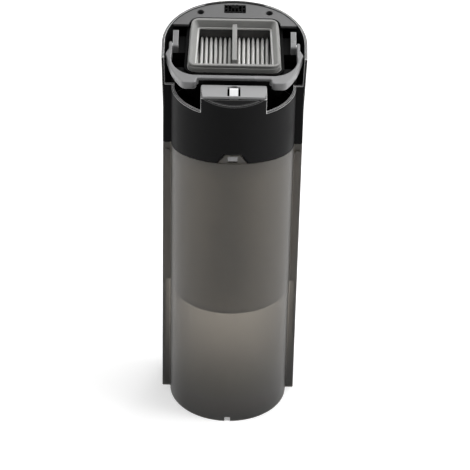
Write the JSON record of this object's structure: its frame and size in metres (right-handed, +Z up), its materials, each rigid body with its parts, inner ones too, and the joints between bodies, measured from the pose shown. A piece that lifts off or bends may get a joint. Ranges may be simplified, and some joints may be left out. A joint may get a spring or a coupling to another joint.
{
  "type": "dirty water tank",
  "caption": "Upright smoky dirty water tank of a wet floor cleaner with a black lift-off lid, swing handle, press latch, slanted pleated filter and open-backed skirt",
  "frame": {"origin": "under the middle of the bounding box, on the surface the tank stands on", "axes": "+Z up, -Y the half-round front, +X to the right seen from the front"},
  "size_m": [0.1192, 0.1214, 0.3493],
  "materials": {
    "smoke_plastic": "clear smoke-grey moulded plastic, glossy",
    "dark_plastic": "dark moulded plastic",
    "rubber": "soft black seal rubber",
    "black_gloss": "black moulded plastic, half gloss",
    "black_satin": "black moulded plastic, satin",
    "grey_satin": "dark grey moulded plastic, satin",
    "light_grey_satin": "light grey moulded plastic, satin",
    "grey_gloss": "grey moulded plastic, half gloss",
    "steel": "plain steel",
    "dark_steel": "blackened steel",
    "filter_rubber": "soft grey seal rubber",
    "filter_flange": "light grey moulded plastic",
    "filter_frame": "dark grey moulded plastic",
    "pale_gloss": "near-white moulded plastic, half gloss",
    "pleat_cloth": "folded filter cloth, off-white"
  },
  "bodies": {
    "tank": {"tank_shell": "smoke_plastic", "tab_catch": "light_grey_satin", "inlet_pipe": "dark_plastic", "pipe_o_ring": "rubber", "inlet_seal": "rubber"},
    "lid": {"lid_body": "black_gloss", "lid_seal": "rubber", "filter_well": "black_satin", "front_cover": "black_gloss", "cover_screws": "steel", "rear_deck": "grey_satin", "deck_screws": "dark_steel", "contact_housing": "black_satin", "probe_left": "steel", "probe_right": "steel", "probe_grommets": "rubber", "splash_guard": "black_satin", "latch_housing": "black_satin", "latch_plate": "light_grey_satin", "latch_spring": "steel", "handle_pin_left": "steel", "handle_pin_right": "steel", "handle_ear_left": "grey_gloss", "handle_ear_right": "grey_gloss"},
    "latch": {"latch_button": "black_gloss", "latch_hook": "pale_gloss"},
    "filter": {"filter_seal": "filter_rubber", "filter_flange": "filter_flange", "filter_frame": "filter_frame", "filter_bar": "filter_rubber", "filter_media": "pleat_cloth"},
    "handle": {"handle": "grey_gloss", "grip_insert": "rubber"}
  },
  "joints": [
    {"name": "lid_lift", "type": "slide", "parent": "tank", "child": "lid", "axis": [0, 0, 1], "range_m": [0, 0.075]},
    {"name": "filter_lift", "type": "slide", "parent": "lid", "child": "filter", "axis": [0, -0.225, 0.9744], "range_m": [0, 0.029]},
    {"name": "handle_swing", "type": "hinge", "parent": "lid", "child": "handle", "pos_m": [0, 0.01009, 0.33338], "axis": [-1, 0, 0], "range_deg": [0, 100]},
    {"name": "latch_press", "type": "slide", "parent": "lid", "child": "latch", "axis": [0, 0, -1], "range_m": [0, 0.004], "stiffness_N_per_m": 800, "deforming": ["latch_spring"]}
  ]
}
